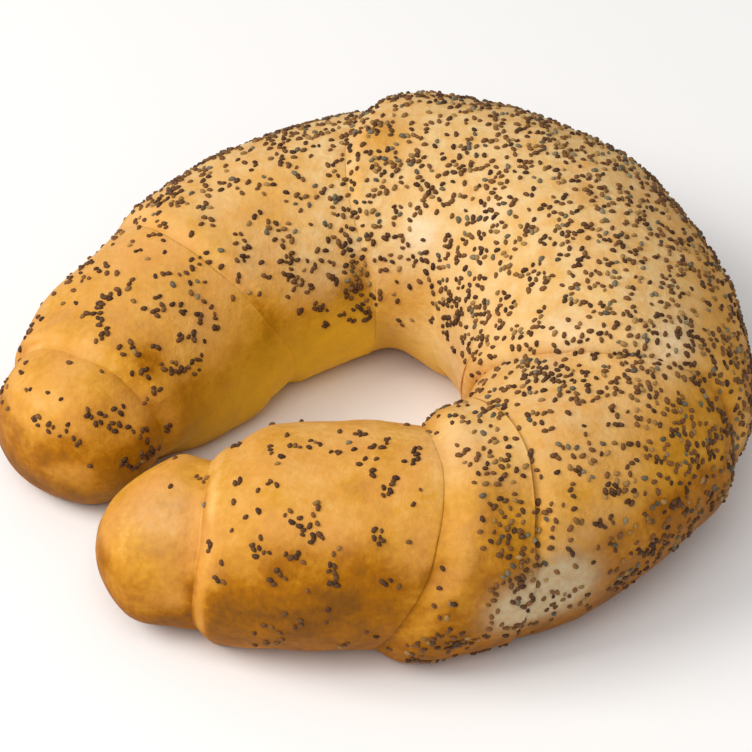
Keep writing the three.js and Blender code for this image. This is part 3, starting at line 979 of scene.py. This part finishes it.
    @staticmethod
    def on_grid(values: Array, where: Array) -> Array:
        """Values of a grid at fractional rows and columns, blended from the four corners of each cell."""
        rows, columns = values.shape[:2]
        row = np.clip(where[:, 0], 0, rows - 1 - MM)
        i, j = np.floor(row).astype(int), np.floor(where[:, 1]).astype(int)
        u, v = (row - i)[:, None], (where[:, 1] - j)[:, None]
        near = values[i, j % columns] * (1 - v) + values[i, (j + 1) % columns] * v
        far = values[i + 1, j % columns] * (1 - v) + values[i + 1, (j + 1) % columns] * v
        return near * (1 - u) + far * u

    def keep_apart(self, places: Array, spacing: Array) -> Array:
        """Which seeds stay when each that lies on an earlier kept one is dropped.

        Args:
            places: the seeds' places.
            spacing: the least distance of each seed from an earlier one.

        Returns:
            True for each seed that stays.
        """
        tree = KDTree(len(places))
        for index, place in enumerate(places):
            tree.insert(place, index)
        tree.balance()
        kept = places[:, 2] > self.floor
        for index, place in enumerate(places):
            near = (found[1] for found in tree.find_range(place, spacing[index]))
            kept[index] &= not any(kept[other] for other in near if other < index)
        return kept

    def build(self, grid: CrustGrid) -> list[bpy.types.Object]:
        """Makes one piece for each lot of seeds.

        Each seed is turned at random about the crust's normal, tilted a little and sunk so that only the
        proud part stands out.

        Args:
            grid: the crust's grid.

        Returns:
            The seeds' objects.
        """
        where, heaped = self.sow(grid)
        spacing = np.where(heaped, self.heap_spacing, self.spacing)
        kept = self.keep_apart(self.on_grid(grid.points, where), spacing)
        where, heaped = where[kept], heaped[kept]
        places, normals = self.on_grid(grid.points, where), self.on_grid(grid.normals, where)
        headings = self.on_grid(grid.points, where + np.array([0, 1])) - places
        normals /= np.linalg.norm(normals, axis=-1, keepdims=True)
        headings /= np.linalg.norm(headings, axis=-1, keepdims=True)
        draw = np.random.default_rng(self.seed + 1)
        count = len(places)
        turn = draw.uniform(0, 2 * math.pi, (count, 1))
        across = np.cross(normals, headings)
        long_way = headings * np.cos(turn) + across * np.sin(turn)
        up = normals + draw.normal(0, self.tilt, (count, 3))
        up /= np.linalg.norm(up, axis=-1, keepdims=True)
        side = np.cross(up, long_way)
        side /= np.linalg.norm(side, axis=-1, keepdims=True)
        axes = np.stack([np.cross(side, up), side, up], 1)
        scale = np.array(self.size) * draw.normal(1, self.size_spread, (count, 1)).clip(*self.size_range)
        shape, faces = self.template()
        height = (self.proud - self.size[2] / 2) * draw.uniform(*self.proud_range, (count, 1))
        middle = places + normals * height
        cloud = middle[:, None] + np.einsum("vk,nk,nkx->nvx", shape, scale, axes)
        tone = draw.random(count) * np.where(heaped, self.heap_tone, 1)
        crowd = self.on_grid(self.strewing.share(grid)[..., None], where)
        shares = np.array([(lot.share, lot.thin_share) for lot in self.lots])
        chances = np.cumsum(crowd * shares[:, 0] + (1 - crowd) * shares[:, 1], 1)
        lot = (draw.random((count, 1)) > chances).sum(1).clip(0, len(self.lots) - 1) * ~heaped
        pieces = []
        for index, seeds in enumerate(self.lots):
            chosen = np.flatnonzero(lot == index)
            offset = (np.arange(len(chosen)) * len(shape))[:, None, None]
            joined = [(group[None] + offset).reshape(-1, group.shape[1]) for group in faces]
            marks = {"tone": np.repeat(tone[chosen], len(shape))}
            pieces.append(make_piece(seeds.name, cloud[chosen].reshape(-1, 3), joined, marks))
        return pieces


# ---- Finishes ----------------------------------------------------------------------------------------


@dataclass(frozen=True)
class Mottle:
    """A swing of the bake up and down, with the size of its blotches in millimetres and their detail."""

    size: float
    detail: float
    swing: float


@dataclass(frozen=True)
class Veil:
    """A colour laid over the crust by one of its marks.

    Noise of a size in millimetres breaks it up, so that from the least to the most of the mark shows.
    """

    mark: str
    colour: str
    size: float
    detail: float
    least: float
    most: float


@dataclass(frozen=True)
class FineRelief:
    """Relief that is too fine for the mesh: its size and height in millimetres, detail and strength."""

    size: float
    detail: float
    height: float
    strength: float


@dataclass(frozen=True)
class CrustFinish:
    """Baked bread crust, brushed with egg: satin golden skin, mottled, with fine pores and wrinkles."""

    # Pale dough on the lips and round the hole, gold on the arms, brown low on the sides, where the brown is
    # partly painted shade.
    stops: tuple[tuple[float, str], ...] = (
        (0.0, "#eab768"),
        (0.35, "#d3942b"),
        (0.7, "#a76609"),
        (1.0, "#7f4d14"),
    )
    # Blotches about half as wide as a fingertip, and specks.
    mottles: tuple[Mottle, ...] = (Mottle(6.0, 3, 0.14), Mottle(1.3, 2, 0.08))
    # A peach flush where the bake is low, the bright yellow of the roll's inner side, which is painted
    # light, the fair crust between the seeds, the almost white spots, of which the two wide ones low on the
    # inner side are painted light, and the grey film of flour.
    veils: tuple[Veil, ...] = (
        Veil("fair", "#dd9854", 9.0, 1, 0.0, 0.5),
        Veil("amber", "#f5c22a", 4.0, 2, 0.8, 1.0),
        Veil("strewn", "#e8c389", 3.0, 2, 0.3, 1.1),
        Veil("pale", "#f3dab2", 1.8, 2, 0.6, 1.0),
        Veil("flour", "#cdb892", 1.4, 4, 0.6, 1.0),
    )
    # Wrinkles of the skin as it dried. Real pores are about 0.3 mm wide and wouldn't show, so they are
    # drawn twice as coarse.
    reliefs: tuple[FineRelief, ...] = (FineRelief(2.2, 4, 0.5, 0.7), FineRelief(0.7, 2, 0.18, 0.5))
    # The dried egg wash gives a warm, broken sheen, and no white highlights.
    glaze: str = "#ffd890"
    sheen_size: float = 4.0
    roughness: tuple[float, float] = (0.5, 0.66)
    noise_range: tuple[float, float] = (0.3, 0.7)

    def make(self) -> bpy.types.Material:
        """Builds the crust's material.

        The bake mark, which holds painted shade on the low sides, with its mottles picks a colour from pale
        to brown, and the veils lay theirs over it.

        Returns:
            The material.
        """
        material = bare_material("egg_washed_bread_crust")
        tree = material.node_tree
        place = add_node(tree, "ShaderNodeTexCoord", {}).outputs["Object"]

        def noise(size: float, detail: float, low: float = 0.0, high: float = 1.0) -> bpy.types.NodeSocket:
            """Noise whose features are about a size in millimetres, from low to high."""
            settings = {"Scale": 1 / (size * MM), "Detail": detail, "Roughness": 0.55}
            value = add_node(tree, "ShaderNodeTexNoise", settings, {"Vector": place}).outputs["Fac"]
            if (low, high) == (0.0, 1.0):
                return value
            settings = {1: self.noise_range[0], 2: self.noise_range[1], 3: low, 4: high}
            return add_node(tree, "ShaderNodeMapRange", settings, {0: value}).outputs[0]

        def mark(name: str) -> bpy.types.NodeSocket:
            """One of the crust's marks."""
            return add_node(tree, "ShaderNodeAttribute", {"attribute_name": name}).outputs["Fac"]

        baked_and_shaded = mark("bake")
        for mottle in self.mottles:
            swing = noise(mottle.size, mottle.detail, -mottle.swing, mottle.swing)
            baked_and_shaded = add_node(tree, "ShaderNodeMath", {"operation": "ADD"}, {0: baked_and_shaded, 1: swing}).outputs[0]
        stops = [(at, linear(colour)) for at, colour in self.stops]
        colour = add_node(tree, "ShaderNodeValToRGB", {"stops": stops}, {"Fac": baked_and_shaded}).outputs["Color"]
        for veil in self.veils:
            broken = noise(veil.size, veil.detail, veil.least, veil.most)
            factors = {0: mark(veil.mark), 1: broken}
            share = add_node(tree, "ShaderNodeMath", {"operation": "MULTIPLY"}, factors).outputs[0]
            settings = {"data_type": "RGBA", 7: linear(veil.colour)}
            colour = add_node(tree, "ShaderNodeMix", settings, {0: share, 6: colour}).outputs[2]
        normal: dict[str, bpy.types.NodeSocket] = {}
        for relief in self.reliefs:
            settings = {"Strength": relief.strength, "Distance": relief.height * MM}
            links = {"Height": noise(relief.size, relief.detail), **normal}
            normal = {"Normal": add_node(tree, "ShaderNodeBump", settings, links).outputs["Normal"]}
        skin = {
            "Metallic": 0.0,
            "IOR": 1.45,
            "Specular IOR Level": 0.12,
            "Specular Tint": linear(self.glaze),
            "Subsurface Weight": 0.06,
            "Subsurface Radius": (1.0, 0.45, 0.18),
            "Subsurface Scale": 1.2 * MM,
        }
        links = {"Base Color": colour, "Roughness": noise(self.sheen_size, 2, *self.roughness), **normal}
        shader = add_node(tree, "ShaderNodeBsdfPrincipled", skin, links)
        add_node(tree, "ShaderNodeOutputMaterial", {}, {"Surface": shader.outputs["BSDF"]})
        return material


@dataclass(frozen=True)
class SeedFinish:
    """Dry poppy seed: a dull pitted coat, each seed a little lighter or darker than the next."""

    dark: str
    light: str
    # The pits of a real seed's net are about 0.1 mm wide, so they are drawn twice as coarse to show.
    pit: float = 0.25
    pit_depth: float = 0.04

    def make(self, name: str) -> bpy.types.Material:
        """Builds the material of one lot of seeds.

        Args:
            name: the material's name.

        Returns:
            The material.
        """
        material = bare_material(name)
        tree = material.node_tree
        place = add_node(tree, "ShaderNodeTexCoord", {}).outputs["Object"]
        tone = add_node(tree, "ShaderNodeAttribute", {"attribute_name": "tone"}).outputs["Fac"]
        stops = [(0.0, linear(self.dark)), (1.0, linear(self.light))]
        colour = add_node(tree, "ShaderNodeValToRGB", {"stops": stops}, {"Fac": tone}).outputs["Color"]
        pits = add_node(tree, "ShaderNodeTexVoronoi", {"Scale": 1 / (self.pit * MM)}, {"Vector": place})
        settings = {"Strength": 0.4, "Distance": self.pit_depth * MM}
        bump = add_node(tree, "ShaderNodeBump", settings, {"Height": pits.outputs["Distance"]})
        coat = {"Metallic": 0.0, "IOR": 1.45, "Roughness": 0.6, "Specular IOR Level": 0.4}
        links = {"Base Color": colour, "Normal": bump.outputs["Normal"]}
        shader = add_node(tree, "ShaderNodeBsdfPrincipled", coat, links)
        add_node(tree, "ShaderNodeOutputMaterial", {}, {"Surface": shader.outputs["BSDF"]})
        return material


# ---- The studio --------------------------------------------------------------------------------------


@dataclass(frozen=True)
class SoftLight:
    """A square soft light that looks at the roll."""

    name: str
    place: tuple[float, float, float]
    side: float
    watts: float
    colour: str


@dataclass
class Studio:
    """A pale table, soft lights and the camera."""

    target: tuple[float, float, float] = (-0.0003, -0.0016, 0.017)
    distance: float = 0.7
    elevation: float = 45.0
    sensor: float = 36.0
    lens: float = 181.96
    table_side: float = 6.0
    table_colour: str = "#fbfaf9"
    sky_colour: str = "#ffffff"
    sky_strength: float = 0.4
    lights: tuple[SoftLight, ...] = (
        SoftLight("side_softbox", (-0.78, -0.1, 0.72), 0.6, 7.4, "#fffcf8"),
        SoftLight("top_softbox", (-0.15, -0.5, 0.98), 0.8, 4.4, "#ffffff"),
    )

    def build(self) -> None:
        """Makes the table, the lights and the camera."""
        self.lay_table()
        for light in self.lights:
            self.hang(light)
        self.aim_camera()
        world = bpy.data.worlds.new("soft_room")
        bpy.context.scene.world = world
        world.use_nodes = True
        background = world.node_tree.nodes["Background"]
        background.inputs["Color"].default_value = linear(self.sky_colour)
        background.inputs["Strength"].default_value = self.sky_strength
        bpy.context.scene.view_settings.view_transform = "Standard"

    def lay_table(self) -> None:
        """Makes the plain pale table as one flat square under the roll."""
        half = self.table_side / MM / 2
        points = np.array([(-half, -half, 0), (half, -half, 0), (half, half, 0), (-half, half, 0)], float)
        table = make_piece("table", points, [np.array([[0, 1, 2, 3]])], {})
        material = bpy.data.materials.new("matt_white_laminate")
        material.use_nodes = True
        shader = material.node_tree.nodes["Principled BSDF"]
        shader.inputs["Base Color"].default_value = linear(self.table_colour)
        shader.inputs["Roughness"].default_value = 0.7
        table.data.materials.append(material)

    def hang(self, light: SoftLight) -> None:
        """Hangs one soft light, looking at the roll.

        Args:
            light: the light to hang.
        """
        data = bpy.data.lights.new(light.name, "AREA")
        data.size = light.side
        data.energy = light.watts
        data.color = linear(light.colour)[:3]
        lamp = bpy.data.objects.new(light.name, data)
        lamp.location = light.place
        lamp.rotation_euler = (Vector(self.target) - lamp.location).to_track_quat("-Z", "Y").to_euler()
        bpy.context.scene.collection.objects.link(lamp)

    def aim_camera(self) -> None:
        """Sets the camera at the height of the photograph's view, looking along +Y and down."""
        slope = math.radians(self.elevation)
        data = bpy.data.cameras.new("camera")
        data.sensor_width = self.sensor
        data.lens = self.lens
        data.clip_start = 0.05
        camera = bpy.data.objects.new("camera", data)
        back = Vector((0, -math.cos(slope), math.sin(slope)))
        camera.location = Vector(self.target) + back * self.distance
        camera.rotation_euler = (-back).to_track_quat("-Z", "Y").to_euler()
        bpy.context.scene.collection.objects.link(camera)
        bpy.context.scene.camera = camera


# ---- The roll ----------------------------------------------------------------------------------------


@dataclass
class CrescentRoll:
    """The whole roll: its crust and its seeds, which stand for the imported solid."""

    body: str = "root"
    node: str = "roll"

    def build(self) -> list[bpy.types.Object]:
        """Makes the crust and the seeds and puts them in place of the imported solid.

        Returns:
            All pieces of the roll.
        """
        crust = Crust(Dough())
        strewing = Strewing()
        grid = crust.lay_grid()
        skin = crust.build(grid, strewing.share(grid))
        skin.data.materials.append(CrustFinish().make())
        sower = SeedSower(strewing)
        seeds = sower.build(grid)
        for piece, lot in zip(seeds, sower.lots):
            piece.data.materials.append(SeedFinish(lot.dark, lot.light).make(lot.name))
        for piece in (skin, *seeds):
            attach(piece, self.body)
            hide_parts(self.node)
        return [skin, *seeds]


def main() -> None:
    """Builds the roll and the studio and reports each piece."""
    logging.basicConfig(level=logging.INFO)
    for piece in CrescentRoll().build():
        LOG.info("%s: %d vertices, %d faces", piece.name, len(piece.data.vertices), len(piece.data.polygons))
    Studio().build()


if __name__ == "__main__":
    main()
